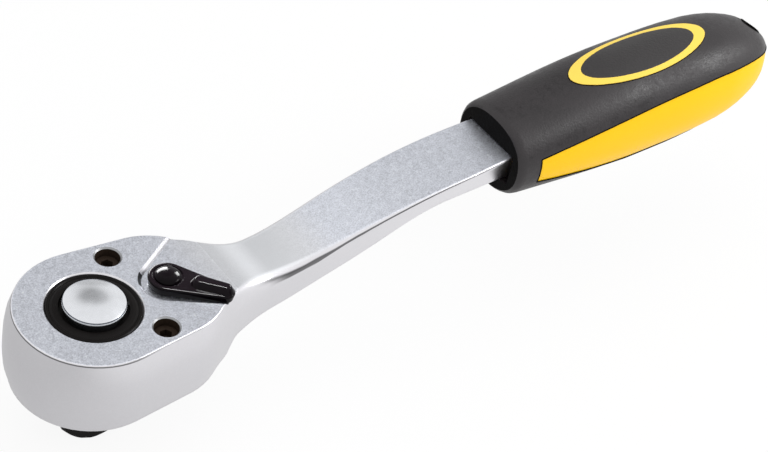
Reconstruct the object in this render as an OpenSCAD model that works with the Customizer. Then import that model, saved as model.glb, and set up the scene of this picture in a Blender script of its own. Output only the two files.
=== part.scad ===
// Curved ratchet wrench, half inch square drive, with a two-part moulded grip.
// Millimetres. The origin lies on the drive axis, in the plane of the head's underside.
// +X runs towards the handle, +Z towards the release button.

/* [Drive and gear] */
// Width of the drive square across its flats
drive_w = 12.7; // [12.2:0.1:13.2]
// Length of the drive square below the head
drive_len = 16.6; // [16:0.2:17.6]
// How far the square's corners stand out beyond its flats
corner_out = 2; // [1.8:0.1:2.2]
// Turn of the drive square about its axis at rest
drive_turn = 65; // [0:5:90]
// Length of the lead-in taper on the corners of the drive square
lead_len = 2.5; // [2:0.5:4]
// How far the corners still stand out beyond the flats at the tip
lead_out = 0.1; // [0.05:0.05:0.4]
// Width of the shoulder round the drive square that a socket meets
shoulder_land = 1.7; // [1.4:0.1:2.2]
// Radius of the drive hub that shows in the top of the head
hub_r = 12.3; // [11.8:0.1:13]
// Step from the hub out to the tips of the ratchet teeth
gear_step = 1.7; // [1.5:0.1:2]
// Depth of the ratchet teeth
tooth_h = 0.9; // [0.8:0.05:1]
// Number of ratchet teeth
tooth_n = 72; // [60:12:84]
// Radius of the socket ball
ball_r = 2.4; // [2.2:0.05:2.6]
// How far the socket ball stands out of the drive square
ball_proud = 0.95; // [0.8:0.05:1.1]

/* [Head] */
// Thickness of the head
head_t = 24.5; // [24:0.5:26]
// Thickness of the wall over the gear chamber
top_wall = 6.4; // [6.2:0.1:7]
// Wall from the gear chamber out to the rim of the top face
head_wall = 6.2; // [5.8:0.1:6.8]
// Swell of the head's side wall beyond the rim of the top face
head_swell = 1.5; // [1:0.1:2]
// Rounding of the rim of the top face
rim_round = 0.5; // [0.3:0.1:0.8]
// Bevel round the bore for the hub and round the screw holes
bore_bevel = 0.4; // [0.3:0.05:0.5]
// Rounding of the head's lower edge
under_round = 2.2; // [1.8:0.1:2.8]
// Thickness of the cover plate
plate_t = 3.2; // [2.8:0.1:3.6]
// Distance of the cover plate's edge in from the rim of the top face
plate_inset = 2.4; // [2.2:0.1:2.6]
// Thickness of the thrust washer under the gear
washer_t = 0.8; // [0.6:0.1:1]

/* [Cover screws] */
// Distance of the cover screws from the drive axis along the handle
screw_x = 12.5; // [12:0.1:13]
// Distance of the cover screws from the middle plane
screw_y = 14.3; // [14:0.1:14.8]
// Thread radius of the cover screws
screw_r = 2; // [1.7:0.1:2.1]
// Radius of the screw heads
screw_head_r = 3.1; // [2.9:0.1:3.2]
// Height of the screw heads
screw_head_h = 3.2; // [2.6:0.1:3.6]
// Width of the hexagon socket in the screw heads
screw_key = 3; // [2.5:0.1:3.2]

/* [Release button] */
// Radius of the button
button_r = 8.2; // [7.8:0.1:8.6]
// Height of the button's rim above the head
button_rise = 1.9; // [1.6:0.1:2.4]
// Height of the button's dome above its rim
dome_h = 2.1; // [1.8:0.1:2.6]
// Height from the underside of the button's flange up to its rim
button_skirt = 5.5; // [5.3:0.1:5.8]
// Height of the button's rim
button_rim = 0.9; // [0.7:0.05:1]
// How far the rim overhangs the skirt
button_over = 1; // [0.8:0.1:1.2]
// Thickness of the button's skirt and roof
button_wall = 1.6; // [1.4:0.1:1.8]
// How far the button's flange stands out
flange_out = 0.8; // [0.6:0.1:1]
// Travel of the button
button_travel = 2.5; // [2.2:0.1:2.8]
// Wire thickness of the button spring
button_wire = 0.8; // [0.6:0.1:0.9]

/* [Pawl and selector] */
// Radial room from the tooth tips out to the pawl's pivot
pawl_land = 2.2; // [2.1:0.05:2.4]
// Distance from the pawl's pivot out to the selector's axis
selector_gap = 5.4; // [5.3:0.05:5.8]
// Rock of the pawl each side of its middle position
pawl_rock = 4; // [3.6:0.1:4.4]
// Half of the angle that the pawl spans round the gear
pawl_span = 36; // [34:0.5:37]
// Radius of the pawl pin
pawl_pin_r = 1.1; // [1:0.05:1.2]
// Radius of the selector shaft in the head's top wall
selector_r = 3.5; // [3.3:0.1:3.8]
// Radius of the selector shaft beside the pawl
selector_waist_r = 2.6; // [2.5:0.05:2.7]
// Radius of the plunger in the selector shaft
plunger_r = 1.1; // [1:0.05:1.2]

/* [Reversing lever] */
// Radius of the lever's hub
lever_hub_r = 5.2; // [5:0.1:5.5]
// Reach of the lever's tip from its pivot
lever_reach = 17.8; // [17:0.2:18.6]
// Radius of the lever's tip in plan
lever_tip_r = 2.4; // [2.2:0.1:2.6]
// Thickness of the lever's plate
lever_t = 2.5; // [2.2:0.1:2.8]
// Rounding of the plate's upper edge
lever_round = 0.6; // [0.4:0.1:0.8]
// Inward draft of the plate's sides towards its underside
lever_draft = 0.4; // [0.3:0.05:0.6]
// Height of the finger ridge over the plate
ridge_h = 1.9; // [1.6:0.1:2.2]
// Radius of the domed head that holds the lever down
dome_cap_r = 3.5; // [3.2:0.1:3.8]
// Height of the domed head
dome_cap_h = 1.5; // [1.2:0.1:1.8]
// Angle of the lever from the handle's line at rest
lever_angle = -48; // [-50:1:-46]
// Angle between the lever's flank and the flank of the recess that it lies in
fan_ease = 6; // [5:0.5:8]
// Depth of the fan-shaped recess under the lever
fan_depth = 1.2; // [1:0.1:1.5]
// How far the walls of the lever's recess lean out up to the head's top
fan_lean = 1; // [0.6:0.1:1.2]

/* [Shank] */
// Distance of the narrowest point of the neck from the drive axis
neck_x = 50; // [48:0.5:54]
// Half of the width at the neck
neck_w = 8.6; // [8:0.1:9.2]
// Dip of the top below the head's top face at the neck
neck_dip = 3.5; // [3:0.1:4]
// Height of the neck's underside behind the head
neck_under = 4.7; // [4.2:0.1:5.2]
// Rounding of the top edges at the neck
neck_round = 2.8; // [2.2:0.1:3.4]
// Half of the shank's largest width
shank_w = 9.9; // [9.4:0.1:10.4]
// Half of the width where the shank enters the grip
mouth_w = 9.4; // [9:0.1:9.8]
// Rounding of the shank's top edges at the grip
shank_round = 0.6; // [0.4:0.1:1]
// Thickness where the shank enters the grip
shank_t = 9.3; // [8.4:0.1:9.8]
// Height of the shank's top over the head's top face at the grip
shank_rise = 9.2; // [8.4:0.2:10]
// Inward draft of the shank's sides
shank_draft = 1.5; // [1:0.1:2]
// Half of the width of the tang inside the grip
tang_w = 6.5; // [6:0.1:7]
// Thickness of the tang
tang_t = 6.2; // [5.6:0.1:6.4]
// Length of the tang inside the grip
tang_len = 72; // [60:1:76]

/* [Grip] */
// Distance of the grip's butt from the drive axis
reach = 225.5; // [222:0.5:230]
// Length of the grip
grip_len = 100.5; // [98:0.5:104]
// Half of the grip's largest width
grip_w = 15.7; // [15:0.1:16.4]
// Half of the grip's largest height
grip_h = 15.8; // [15.2:0.1:16.4]
// Height of the grip's axis over the head's top face, at the front of the grip
grip_rise = 5.3; // [4.8:0.1:5.8]
// Rise of the grip's axis from its front to its butt
grip_lift = 2.9; // [2.2:0.1:3.4]
// How much slimmer the front of the grip is than its widest place, each side
collar_slim = 1.4; // [1:0.1:1.8]
// How much lower the front of the grip is than its highest place, top and bottom
collar_low = 3.8; // [3.2:0.1:4.2]
// Length of the cover ahead of the side panels
collar_len = 7; // [6:0.5:9]
// Half of the side panel's height at its front
panel_h0 = 4; // [3.4:0.1:4.6]
// Height of the side panel over the grip's axis at its widest
panel_h1 = 8.3; // [7.8:0.1:9]
// Depth of the side panel under the grip's axis at its widest
panel_low = 12; // [11:0.1:12.5]
// Run over which the side panel widens from its front
panel_run = 63; // [56:1:66]
// How far the side panels lie below the cover
panel_sink = 0.2; // [0.1:0.05:0.3]
// Distance of the badge's middle from the front of the grip
badge_at = 50; // [48:0.5:54]
// Half of the badge's length
badge_len = 24.3; // [23:0.1:26]
// Half of the badge's width
badge_w = 8.3; // [7.8:0.1:8.8]
// Width of the badge's ring at its sides
badge_band = 1.4; // [1.2:0.1:1.8]
// Width of the badge's ring at its ends
badge_tip = 4.2; // [3.6:0.1:4.8]
// How far the badge stands over the cover
badge_proud = 0.3; // [0.2:0.05:0.4]
// Radius of the hang hole
hang_r = 3; // [2.6:0.1:3.4]
// Distance of the hang hole's axis from the butt
hang_x = 5.4; // [5:0.2:6.2]
// Thickness of the cover's sleeve inside the hang hole
hang_sleeve = 0.8; // [0.6:0.1:1]

/* [Clearances] */
// Radial clearance of turning and sliding fits
run_gap = 0.05; // [0.03:0.01:0.08]
// Clearance of pieces that are assembled and stay put
seat_gap = 0.05; // [0.02:0.01:0.1]
// Clearance between moving pieces that don't bear on each other
free_gap = 0.25; // [0.2:0.05:0.3]
// Room round the tips of the gear in its chamber
chamber_gap = 0.6; // [0.5:0.05:0.8]
// Gap between the shank and the mouth of the grip
mouth_gap = 0.4; // [0.3:0.1:0.6]

/* [Hidden] */
$fn = 64;

// Colours
steel = [0.78, 0.79, 0.80];
polished = [0.86, 0.87, 0.88];
oxide = [0.10, 0.10, 0.11];
gloss_black = [0.05, 0.05, 0.06];
soft_black = [0.17, 0.16, 0.16];
yellow = [0.96, 0.76, 0.10];

// Margin by which a cutting shape runs past the face it cuts
past = 1;

// Head and gear
gear_r = hub_r + gear_step;
gear_root_r = gear_r - tooth_h;
chamber_r = gear_r + chamber_gap;
chamber_top = head_t - top_wall;
head_r = chamber_r + head_wall;
drive_corner_r = drive_w / 2 + corner_out;
journal_r = drive_corner_r + shoulder_land;
gear_z0 = plate_t + washer_t + free_gap;
gear_z1 = chamber_top - free_gap;

// Pawl and selector
pawl_x = gear_r + pawl_land;
selector_x = pawl_x + selector_gap;
selector_top = head_t - fan_depth;
plunger_tip = selector_waist_r + 0.6;
pawl_notch_r = selector_waist_r + 0.7;
pawl_z0 = plate_t + 2 * free_gap;
clip_t = 0.7;
clip_z = chamber_top - free_gap - clip_t;
clip_seat_r = selector_waist_r - 0.6;
clip_r = selector_gap - pawl_pin_r - free_gap;
plate_socket = 2;
plunger_bore = 0.6 - selector_waist_r;
plunger_tail = 0.7;
pawl_z1 = clip_z - 2 * free_gap;
pawl_mid_z = (pawl_z0 + pawl_z1) / 2;
pawl_out_r = pawl_x + 2;
pawl_back_x = selector_x - 1.6;
pawl_back_w = 4.4;
pawl_flare = 3;
mesh_gap = 0.12;

// Outline of the head: a round end, a shoulder circle and a fillet into the neck
shoulder_x = selector_x - 4.1;
shoulder_r = head_r - 1.9;
flank_tilt = asin((head_r - shoulder_r) / shoulder_x);
fillet_r = (pow(neck_x - shoulder_x, 2) + pow(neck_w, 2) - pow(shoulder_r, 2))
    / (2 * (shoulder_r - neck_w));
fillet_a = atan2(neck_w + fillet_r, neck_x - shoulder_x);

// Levels and stations of the shank
grip_x = reach - grip_len;
shank_run = grip_x - neck_x;
shank_top = head_t + shank_rise;
shank_under = shank_top - shank_t;
dip_x = shoulder_x + 0.55 * shoulder_r;
under_x = shoulder_x + shoulder_r - plate_inset + 0.2;
round_x = shoulder_x + 0.6 * shoulder_r;
shank_seat = 4;

// Grip
grip_z = head_t + grip_rise;
panel_x = grip_x + collar_len;
badge_x = grip_x + badge_at;
badge_floor = grip_z + grip_lift * badge_at / grip_len + grip_h - 3.2;
core_x = grip_x + shank_seat + 1;
nose_w = tang_w + 3;
lip = 1.4;
hang_at = reach - hang_x;
tang_z = shank_top - tang_t / 2 - 0.7;

// Release button, stem and ball
button_rim_z = head_t + button_rise;
button_base_z = button_rim_z - button_skirt;
skirt_r = button_r - button_over;
flange_r = button_r + flange_out;
flange_h = 1;
well_r = flange_r + run_gap;
well_z = button_base_z - button_travel - free_gap;
snap_t = 0.8;
snap_r = well_r + 0.6;
snap_z = button_base_z + flange_h + seat_gap;
spring_r = 3.9;
spring_z = well_z - 4;
button_roof_z = button_rim_z - button_wall;
stem_top_z = button_rim_z - 0.45;
ball_z = -drive_len / 2;
ball_travel = ball_proud + 0.05;
ball_x = drive_w / 2 + ball_proud - ball_r;
ball_slope = ball_travel / button_travel;
stem_r = ball_x - ball_r - seat_gap;
stem_neck_r = stem_r - ball_travel - 0.35;
stem_cone_z = ball_z + (ball_x - ball_r * sqrt(1 + ball_slope * ball_slope) - seat_gap - stem_r)
    / ball_slope;
stem_bottom_z = ball_z - ball_r - 0.4;
stem_bore_z = stem_bottom_z - button_travel - free_gap;

// Screws and lever
screw_seat_z = chamber_top + 0.6;
screw_hole_r = screw_head_r + free_gap;
lever_z = selector_top + free_gap;
lever_tip_x = lever_reach - lever_tip_r;
lever_taper = asin((lever_hub_r - lever_tip_r) / lever_tip_x);
cap_seat = 0.3;
cap_z = lever_z + lever_t - cap_seat + seat_gap;
fan_spread = -lever_angle - lever_taper - fan_ease;
fan_r = (lever_hub_r - lever_draft) * cos(fan_ease) + lever_tip_x * cos(lever_taper) * sin(fan_ease)
    + free_gap;
o_ring_r = 0.7;
o_ring_z = (chamber_top + selector_top) / 2;
o_ring_major_r = selector_r - o_ring_r;

// Cubic through two knots [x, value, slope]
function between(p, q, x) =
    let (w = q[0] - p[0], t = (x - p[0]) / w)
    (2 * t * t * t - 3 * t * t + 1) * p[1] + (t * t * t - 2 * t * t + t) * w * p[2]
    + (3 * t * t - 2 * t * t * t) * q[1] + (t * t * t - t * t) * w * q[2];

// Smooth curve through a list of knots, level beyond its ends
function curve(k, x, i = 0) =
    x <= k[0][0] ? k[0][1]
    : i + 1 >= len(k) ? k[len(k) - 1][1]
    : x <= k[i + 1][0] ? between(k[i], k[i + 1], x)
    : curve(k, x, i + 1);

// Half of the head's and shank's width at station x
function head_half_w(x) =
    x < head_r * sin(flank_tilt) ? sqrt(head_r * head_r - x * x)
    : x < shoulder_x + shoulder_r * sin(flank_tilt)
        ? (head_r - x * sin(flank_tilt)) / cos(flank_tilt)
    : x < shoulder_x + shoulder_r * cos(fillet_a)
        ? sqrt(shoulder_r * shoulder_r - pow(x - shoulder_x, 2))
    : neck_w + fillet_r - sqrt(fillet_r * fillet_r - pow(x - neck_x, 2));
function half_w(x) =
    x < neck_x ? head_half_w(x)
    : curve([[neck_x, neck_w, 0.03], [neck_x + 0.3 * shank_run, neck_w + 0.54 * (shank_w - neck_w), 0.03],
        [neck_x + 0.78 * shank_run, shank_w, 0], [grip_x, mouth_w, -0.04]], x);

// Height of the top and of the underside at station x
function top_z(x) = curve([[dip_x, head_t, 0], [neck_x, head_t - neck_dip, 0],
    [neck_x + 0.29 * shank_run, head_t - neck_dip + 0.33 * (shank_rise + neck_dip), 0.28],
    [neck_x + 0.61 * shank_run, head_t - neck_dip + 0.76 * (shank_rise + neck_dip), 0.17],
    [grip_x, shank_top, 0.1]], x);
function under_z(x) = curve([[under_x, 0, 0], [under_x + 3.2, 0.75 * neck_under, 1],
    [under_x + 7, neck_under, 0.2], [neck_x + 0.16 * shank_run, 0.395 * shank_under, 0.33],
    [neck_x + 0.48 * shank_run, 0.76 * shank_under, 0.42],
    [neck_x + 0.75 * shank_run, 0.985 * shank_under, 0.05], [grip_x, shank_under, 0]], x);

// Rounding of the top edges, and swell, draft and lower rounding of the side wall, at station x
function edge_round(x) = curve([[round_x, rim_round, 0], [neck_x - 5, neck_round, 0],
    [neck_x + 0.45 * shank_run, (neck_round + 3 * shank_round) / 4, -0.03], [grip_x, shank_round, 0]], x);
function swell(x) = curve([[selector_x, head_swell, 0], [neck_x + 10, 0, 0]], x);
function draft(x) = curve([[dip_x, 0, 0], [neck_x + 20, shank_draft, 0]], x);
function low_round(x) =
    min(0.42 * (top_z(x) - under_z(x)), curve([[selector_x, under_round, 0], [neck_x, 2.6, 0],
        [neck_x + 40, 1.8, 0]], x));

// One side of the section at station x, from the rim of the top face to the underside
rim_steps = 3;
side_steps = 6;
round_steps = 5;
function side(x) =
    let (w = half_w(x), zt = top_z(x), zb = under_z(x), r = low_round(x), d = draft(x), s = swell(x),
        e = edge_round(x), z1 = zt - e, z2 = zb + r, foot = w - d)
    concat([for (i = [0 : rim_steps - 1]) let (a = 90 * i / rim_steps)
            [w - e * (1 - sin(a)), z1 + e * cos(a)]],
        [for (i = [0 : side_steps]) let (t = i / side_steps)
            [w - d * t + s * (1 - pow(abs(2 * t - 1), 3)), z1 + (z2 - z1) * t]],
        [for (i = [1 : round_steps]) let (a = 90 * i / round_steps)
            [foot - r * (1 - cos(a)), z2 - r * sin(a)]]);
function mirrored(p) = [for (i = [len(p) - 1 : -1 : 0]) [-p[i][0], p[i][1]]];
function body_ring(x) = [for (p = concat(side(x), mirrored(side(x)))) [x, p[0], p[1]]];

// Two triangles for each cell of a grid of points, row by row
function grid_faces(rows, n) = [for (i = [0 : rows - 2], j = [0 : n - 1])
    let (a = i * n + j, b = i * n + (j + 1) % n) each [[a, b + n, a + n], [a, b, b + n]]];

// Closed skin through a list of rings that all have the same number of points
module loft(rings) {
    n = len(rings[0]);
    m = len(rings);
    polyhedron(
        points = [for (r = rings) each r],
        faces = concat([[for (j = [n - 1 : -1 : 0]) j]], grid_faces(m, n),
            [[for (j = [0 : n - 1]) (m - 1) * n + j]]),
        convexity = 6);
}

// Wire coil about the Z axis, from height z0 to z1 between wire centres
module coil(r, wire, z0, z1, turns) {
    per_turn = 16;
    sides = 6;
    n = turns * per_turn;
    loft([for (i = [0 : n]) let (a = 360 * i / per_turn, z = z0 + (z1 - z0) * i / n)
        [for (k = [0 : sides - 1]) let (b = 360 * k / sides)
            [(r + wire / 2 * cos(b)) * cos(a), (r + wire / 2 * cos(b)) * sin(a), z + wire / 2 * sin(b)]]]);
}

// Ratchet wheel outline, with its teeth grown outwards by a clearance
module teeth(grow = 0) {
    polygon([for (i = [0 : 2 * tooth_n - 1])
        let (a = 180 * i / tooth_n, r = i % 2 == 0 ? gear_r : gear_root_r) (r + grow) * [cos(a), sin(a)]]);
}

// Points along an arc about [x, 0]
function arc(x, r, a0, a1, steps) =
    [for (i = [0 : steps]) let (a = a0 + (a1 - a0) * i / steps) [x + r * cos(a), r * sin(a)]];

// Drop outline: a round end r0 at [x0, 0] and a smaller round end r1 at [x1, 0]
function drop(x0, r0, x1, r1, steps) =
    let (flank = acos((r0 - r1) / (x1 - x0)))
    concat(arc(x0, r0, flank, 360 - flank, steps), arc(x1, r1, -flank, flank, steps));

// Pear outline inside the head, a given distance in from the rim of the top face
module pear(inset) {
    polygon(drop(0, head_r - inset, shoulder_x, shoulder_r - inset, 36));
}

// Places its children at both cover screws
module at_screws() {
    for (s = [-1, 1]) translate([screw_x, s * screw_y, 0]) children();
}

// Fan-shaped outline of the lever's recess, with a round end r about the lever's axis
function fan(r) =
    let (edge = 90 + fan_spread, wide = (neck_x - selector_x) * tan(fan_spread) + r / cos(fan_spread))
    concat(arc(selector_x, r, edge, 360 - edge, 16), [[neck_x, -wide], [neck_x, wide]]);

// Recess of the lever, whose walls lean out towards the head's top
module fan_cut() {
    tall = fan_depth + past;
    loft([for (up = [tall, 0])
        [for (p = fan(fan_r + fan_lean * up / fan_depth)) [p[0], p[1], selector_top + up]]]);
}

// Pointed outline from the drive axis, an angle a wide each side of the handle's line
module wedge(r, a) {
    polygon([[0, 0], r * [cos(a), sin(a)], [r, 0], r * [cos(a), -sin(a)]]);
}

// Outline of the pocket for the pawl, opening into the gear chamber
module pawl_pocket() {
    sway = pawl_out_r * sin(pawl_span) * sin(pawl_rock);
    reach_r = pawl_out_r + sway + free_gap;
    a = pawl_span + pawl_rock / 2;
    intersection() {
        circle(reach_r);
        wedge(2 * reach_r, a);
    }
    back_w = pawl_back_w + pawl_flare + free_gap;
    translate([gear_r, -back_w]) square([pawl_back_x + 3 * free_gap - gear_r, 2 * back_w]);
    translate([selector_x, 0]) circle(selector_r + 1.3);
}

// Skin of the head and shank: the round front of the head is swept about the drive axis, and
// the rest runs through sections along the handle
module body_form() {
    stations = concat([for (x = [0 : 2 : under_x - 1]) x], [for (i = [0 : 8]) under_x + i],
        [for (x = [under_x + 10 : 2 : neck_x - 1]) x],
        [for (i = [0 : 18]) neck_x + shank_run * i / 18], [grip_x + shank_seat]);
    half = side(0);
    n = len(half);
    turns = 30;
    front = [for (k = [1 : turns - 1]) let (a = 90 + 180 * k / turns)
        for (p = half) [p[0] * cos(a), p[0] * sin(a), p[1]]];
    rows = [for (x = stations) body_ring(x)];
    m = len(rows);
    // Index of point j in column k of the swept front, whose end columns are the first section
    function at(k, j) = k == 0 ? j : k == turns ? 2 * n - 1 - j : 2 * n * m + (k - 1) * n + j;
    last = 2 * n * (m - 1);
    polyhedron(
        points = concat([for (r = rows) each r], front),
        faces = concat(grid_faces(m, 2 * n),
            [for (k = [0 : turns - 1], j = [0 : n - 2])
                let (p = at(k, j), q = at(k + 1, j + 1)) each [[p, q, at(k, j + 1)], [p, at(k + 1, j), q]]],
            [for (j = [0 : n - 2]) let (a = last + j, b = last + 2 * n - 1 - j)
                each [[b, a + 1, b - 1], [b, a, a + 1]]],
            [[for (k = [turns : -1 : 0]) at(k, 0)], [for (k = [0 : turns]) at(k, n - 1)]]),
        convexity = 6);
}

// Bevel round a hole of radius r in the head's top face
module bevel(r) {
    h = bore_bevel + past;
    translate([0, 0, head_t - bore_bevel]) cylinder(r1 = r, r2 = r + h, h = h);
}

// Head, neck, shank and tang in one forging
module ratchet_body() {
    color(steel) difference() {
        union() {
            body_form();
            translate([grip_x, -tang_w, tang_z - tang_t / 2]) cube([tang_len, 2 * tang_w, tang_t]);
        }
        translate([0, 0, -past]) linear_extrude(plate_t + past) pear(plate_inset);
        translate([0, 0, plate_t - past]) cylinder(r = chamber_r, h = chamber_top - plate_t + past);
        translate([0, 0, plate_t - past]) linear_extrude(chamber_top - plate_t + past) pawl_pocket();
        cylinder(r = hub_r + run_gap, h = head_t + past);
        bevel(hub_r + run_gap);
        translate([pawl_x, 0, 0]) cylinder(r = pawl_pin_r + seat_gap, h = chamber_top + plate_socket);
        translate([selector_x, 0, 0]) cylinder(r = selector_r + run_gap, h = head_t + past);
        fan_cut();
        at_screws() {
            cylinder(r = screw_r + free_gap, h = head_t);
            translate([0, 0, screw_seat_z]) cylinder(r = screw_hole_r, h = head_t);
            bevel(screw_hole_r);
        }
    }
}

// Plate that closes the head from below and carries the drive's lower journal
module cover_plate() {
    color(steel) difference() {
        linear_extrude(plate_t) pear(plate_inset + seat_gap);
        translate([0, 0, -past]) cylinder(r = journal_r + run_gap, h = plate_t + 2 * past);
        at_screws() translate([0, 0, -past]) cylinder(r = screw_r + seat_gap, h = plate_t + 2 * past);
        translate([0, 0, plate_t - plate_socket]) {
            translate([selector_x, 0, 0]) cylinder(r = selector_waist_r + run_gap, h = plate_socket + past);
            translate([pawl_x, 0, 0]) cylinder(r = pawl_pin_r + seat_gap, h = plate_socket + past);
        }
    }
}

// Two socket screws that pull the cover plate up from the top of the head
module cover_screws() {
    key_r = screw_key / sqrt(3);
    color(oxide) at_screws() difference() {
        union() {
            translate([0, 0, 0.2]) cylinder(r = screw_r, h = screw_seat_z);
            translate([0, 0, screw_seat_z]) cylinder(r = screw_head_r, h = screw_head_h);
        }
        translate([0, 0, screw_seat_z + screw_head_h - 2]) cylinder(r = key_r, h = 2 + past, $fn = 6);
    }
}

// Ratchet wheel, hub and drive square in one piece
module drive_anvil() {
    rim = 0.8;
    edge = 0.3;
    color(oxide) difference() {
        union() {
            translate([0, 0, gear_z0]) linear_extrude(gear_z1 - gear_z0) teeth();
            rotate_extrude() polygon([[0, 0], [journal_r - edge, 0], [journal_r, edge],
                [journal_r, gear_z0 + 1], [hub_r, gear_z0 + 1], [hub_r, head_t - edge],
                [hub_r - edge, head_t], [hub_r - rim, head_t], [hub_r - rim - edge, head_t - edge],
                [hub_r - rim - 3 * edge, head_t - edge / 3], [well_r + rim, head_t], [0, head_t]]);
            rotate([0, 0, drive_turn]) intersection() {
                translate([-drive_w / 2, -drive_w / 2, -drive_len]) cube([drive_w, drive_w, drive_len + 1]);
                rotate_extrude() polygon([[0, -drive_len], [drive_w / 2 + lead_out, -drive_len],
                    [drive_corner_r, lead_len - drive_len], [drive_corner_r, 1], [0, 1]]);
            }
        }
        translate([0, 0, well_z]) cylinder(r = well_r, h = head_t);
        translate([0, 0, snap_z - seat_gap]) cylinder(r = snap_r + seat_gap, h = snap_t + 2 * seat_gap);
        translate([0, 0, spring_z]) cylinder(r = spring_r + button_wire / 2 + free_gap, h = head_t);
        translate([0, 0, stem_bore_z]) cylinder(r = stem_r + run_gap, h = head_t - stem_bore_z);
        rotate([0, 0, drive_turn]) {
            translate([0, 0, ball_z]) rotate([0, -90, 0]) cylinder(r = ball_r + seat_gap, h = ball_x);
            translate([-ball_x, 0, ball_z]) sphere(ball_r + seat_gap);
        }
    }
}

// Flat ring between the gear and the cover plate
module thrust_washer() {
    color(steel) translate([0, 0, plate_t]) difference() {
        cylinder(r = gear_root_r - 0.4, h = washer_t);
        translate([0, 0, -past]) cylinder(r = journal_r + free_gap, h = washer_t + 2 * past);
    }
}

// Domed push button with a flange that the snap ring holds down
module release_button() {
    dome_r = (button_r * button_r + dome_h * dome_h) / (2 * dome_h);
    dome_a = asin(button_r / dome_r);
    inner_r = skirt_r - button_wall;
    color(polished) rotate_extrude() polygon(concat(
        [[stem_r + seat_gap, button_roof_z], [inner_r, button_roof_z], [inner_r, button_base_z],
            [flange_r, button_base_z], [flange_r, button_base_z + flange_h],
            [skirt_r, button_base_z + flange_h],
            [skirt_r, button_rim_z - button_rim], [button_r, button_rim_z - button_rim]],
        [for (i = [0 : 12]) let (a = dome_a * (1 - i / 12) * 0.99)
            [dome_r * sin(a), button_rim_z + dome_h - dome_r * (1 - cos(a))]],
        [[0, stem_top_z + seat_gap], [stem_r + seat_gap, stem_top_z + seat_gap]]));
}

// Wire ring in the hub that keeps the button in
module button_snap_ring() {
    color(oxide) translate([0, 0, snap_z]) difference() {
        cylinder(r = snap_r, h = snap_t);
        translate([0, 0, -past]) cylinder(r = skirt_r + run_gap, h = snap_t + 2 * past);
        translate([0, -1.5, -past]) cube([2 * well_r, 3, snap_t + 2 * past]);
    }
}

// Pin under the button, with a tapered neck that lets the ball in
module release_stem() {
    neck_z = stem_cone_z + (stem_r - stem_neck_r) / ball_slope;
    collar_z = ball_z + button_travel + ball_r + 0.6;
    color(polished) rotate_extrude() polygon([[0, stem_bottom_z], [stem_r - 0.3, stem_bottom_z],
        [stem_r, stem_bottom_z + 0.3], [stem_r, stem_cone_z], [stem_neck_r, neck_z],
        [stem_neck_r, collar_z], [stem_r, collar_z + 0.6], [stem_r, stem_top_z], [0, stem_top_z]]);
}

// Compression spring between the hub and the button
module button_spring() {
    color(steel) coil(spring_r, button_wire, spring_z + button_wire / 2 + seat_gap,
        button_roof_z - button_wire / 2 - seat_gap, 4);
}

// Ball that holds a socket on the drive square
module socket_ball() {
    color(polished) rotate([0, 0, drive_turn]) translate([-ball_x, 0, ball_z]) sphere(ball_r);
}

// Outline of the pawl in its middle position, toothed at both ends
module pawl_outline() {
    difference() {
        union() {
            intersection() {
                circle(pawl_out_r);
                wedge(2 * pawl_out_r, pawl_span);
            }
            polygon([[gear_r, -pawl_back_w - pawl_flare], [pawl_x, -pawl_back_w - pawl_flare],
                [pawl_back_x, -pawl_back_w], [pawl_back_x, pawl_back_w],
                [pawl_x, pawl_back_w + pawl_flare], [gear_r, pawl_back_w + pawl_flare]]);
        }
        for (s = [-1, 1]) translate([pawl_x, 0]) rotate(s * pawl_rock) translate([-pawl_x, 0])
            teeth(mesh_gap);
        circle(gear_r + mesh_gap);
        translate([selector_x, 0]) circle(pawl_notch_r);
        translate([pawl_x, 0]) circle(pawl_pin_r + run_gap);
    }
}

// Double-ended pawl, rocked so that its far end meets the gear
module pawl() {
    color(oxide) translate([pawl_x, 0, pawl_z0]) rotate([0, 0, pawl_rock]) translate([-pawl_x, 0, 0])
        linear_extrude(pawl_z1 - pawl_z0) pawl_outline();
}

// Dowel that the pawl rocks on, held in the plate and in the head
module pawl_pin() {
    color(polished) translate([pawl_x, 0, plate_t - plate_socket + seat_gap])
        cylinder(r = pawl_pin_r, h = chamber_top - plate_t + 2 * (plate_socket - seat_gap));
}

// Turned shaft that carries the lever, with a domed head on top and a cross bore beside the pawl
module selector_shaft() {
    shoulder_z = lever_z - seat_gap;
    cap_edge = 0.2;
    groove_r = o_ring_major_r - o_ring_r - seat_gap;
    groove_h = o_ring_r + seat_gap;
    foot_z = plate_t - plate_socket + seat_gap;
    color(gloss_black) difference() {
        translate([selector_x, 0, 0]) rotate_extrude() polygon(concat(
            [[0, foot_z], [selector_waist_r, foot_z], [selector_waist_r, clip_z - seat_gap],
                [clip_seat_r, clip_z - seat_gap], [clip_seat_r, clip_z + clip_t + seat_gap],
                [selector_waist_r, clip_z + clip_t + seat_gap], [selector_waist_r, chamber_top],
                [selector_r, chamber_top + 0.3], [selector_r, o_ring_z - groove_h],
                [groove_r, o_ring_z - groove_h], [groove_r, o_ring_z + groove_h],
                [selector_r, o_ring_z + groove_h], [selector_r, shoulder_z],
                [selector_waist_r, shoulder_z], [selector_waist_r, cap_z], [dome_cap_r, cap_z]],
            [for (i = [0 : 8]) let (a = 90 * i / 8)
                [dome_cap_r * cos(a), cap_z + cap_edge + (dome_cap_h - cap_edge) * sin(a)]]));
        along_plunger(plunger_bore) cylinder(r = plunger_r + run_gap, h = 2 * selector_waist_r);
    }
}

// Turns its children from +Z to the plunger's line, starting a distance u from the selector's axis
module along_plunger(u) {
    translate([selector_x, 0, pawl_mid_z]) rotate([0, 0, lever_angle + 180]) translate([u, 0, 0])
        rotate([0, 90, 0]) children();
}

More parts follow.
